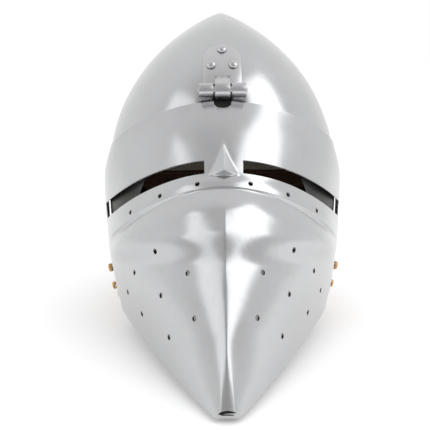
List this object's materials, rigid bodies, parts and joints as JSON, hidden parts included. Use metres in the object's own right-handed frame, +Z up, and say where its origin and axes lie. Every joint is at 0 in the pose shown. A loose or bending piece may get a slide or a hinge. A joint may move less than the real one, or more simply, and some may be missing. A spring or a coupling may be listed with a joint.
{
  "type": "bascinet with hinged visor",
  "caption": "Polished steel knight helmet: pointed bascinet skull and a sharp-snouted visor hung on one brow hinge, with brass vervelles and a leather-strapped padded liner.",
  "frame": {"origin": "on the plane of the resting rim, on the plane of symmetry, under the middle of the helmet's length", "axes": "+Z up, the face looks along -Y, +X to the right as seen from the front (the wearer's left)"},
  "size_m": [0.2074, 0.3672, 0.262],
  "materials": {
    "polished_steel": "hand-polished mild steel with fine straight polishing scratches",
    "steel_fixings": "satin steel hinge leaves, pin and domed rivets",
    "brass": "turned and polished brass, slightly toned",
    "leather": "vegetable-tanned strap leather, dark brown with worn edges",
    "linen": "undyed linen, quilted over wadding"
  },
  "bodies": {
    "skull_body": {"aventail_band": "leather", "chin_strap_left": "leather", "chin_strap_right": "leather", "hinge_pin": "steel_fixings", "hinge_rivet_left": "steel_fixings", "hinge_rivet_right": "steel_fixings", "hinge_rivet_top": "steel_fixings", "liner_band": "leather", "liner_crown": "linen", "liner_rivet_left_1": "steel_fixings", "liner_rivet_left_2": "steel_fixings", "liner_rivet_left_3": "steel_fixings", "liner_rivet_left_4": "steel_fixings", "liner_rivet_right_1": "steel_fixings", "liner_rivet_right_2": "steel_fixings", "liner_rivet_right_3": "steel_fixings", "liner_rivet_right_4": "steel_fixings", "skull": "polished_steel", "skull_hinge_leaf": "steel_fixings", "strap_rivet_left": "steel_fixings", "strap_rivet_right": "steel_fixings", "vervelle_left_1": "brass", "vervelle_left_2": "brass", "vervelle_left_3": "brass", "vervelle_left_4": "brass", "vervelle_left_5": "brass", "vervelle_left_6": "brass", "vervelle_left_cheek": "brass", "vervelle_right_1": "brass", "vervelle_right_2": "brass", "vervelle_right_3": "brass", "vervelle_right_4": "brass", "vervelle_right_5": "brass", "vervelle_right_6": "brass", "vervelle_right_cheek": "brass"},
    "visor_body": {"visor": "polished_steel", "visor_hinge_leaf": "steel_fixings"},
    "buckle_body": {"buckle_frame": "brass"},
    "tongue_body": {"buckle_tongue": "brass"}
  },
  "joints": [
    {"name": "visor_lift", "type": "hinge", "parent": "skull_body", "child": "visor_body", "pos_m": [0, -0.04896, 0.1965], "axis": [-1, 0, 0], "range_deg": [0, 80]},
    {"name": "buckle_fold", "type": "hinge", "parent": "skull_body", "child": "buckle_body", "pos_m": [-0.03, 0.01754, 0.003], "axis": [0, -1, 0], "range_deg": [0, 60]},
    {"name": "tongue_fold", "type": "hinge", "parent": "buckle_body", "child": "tongue_body", "pos_m": [-0.03, 0.01754, 0.003], "axis": [0, -1, 0], "range_deg": [0, 25]}
  ]
}
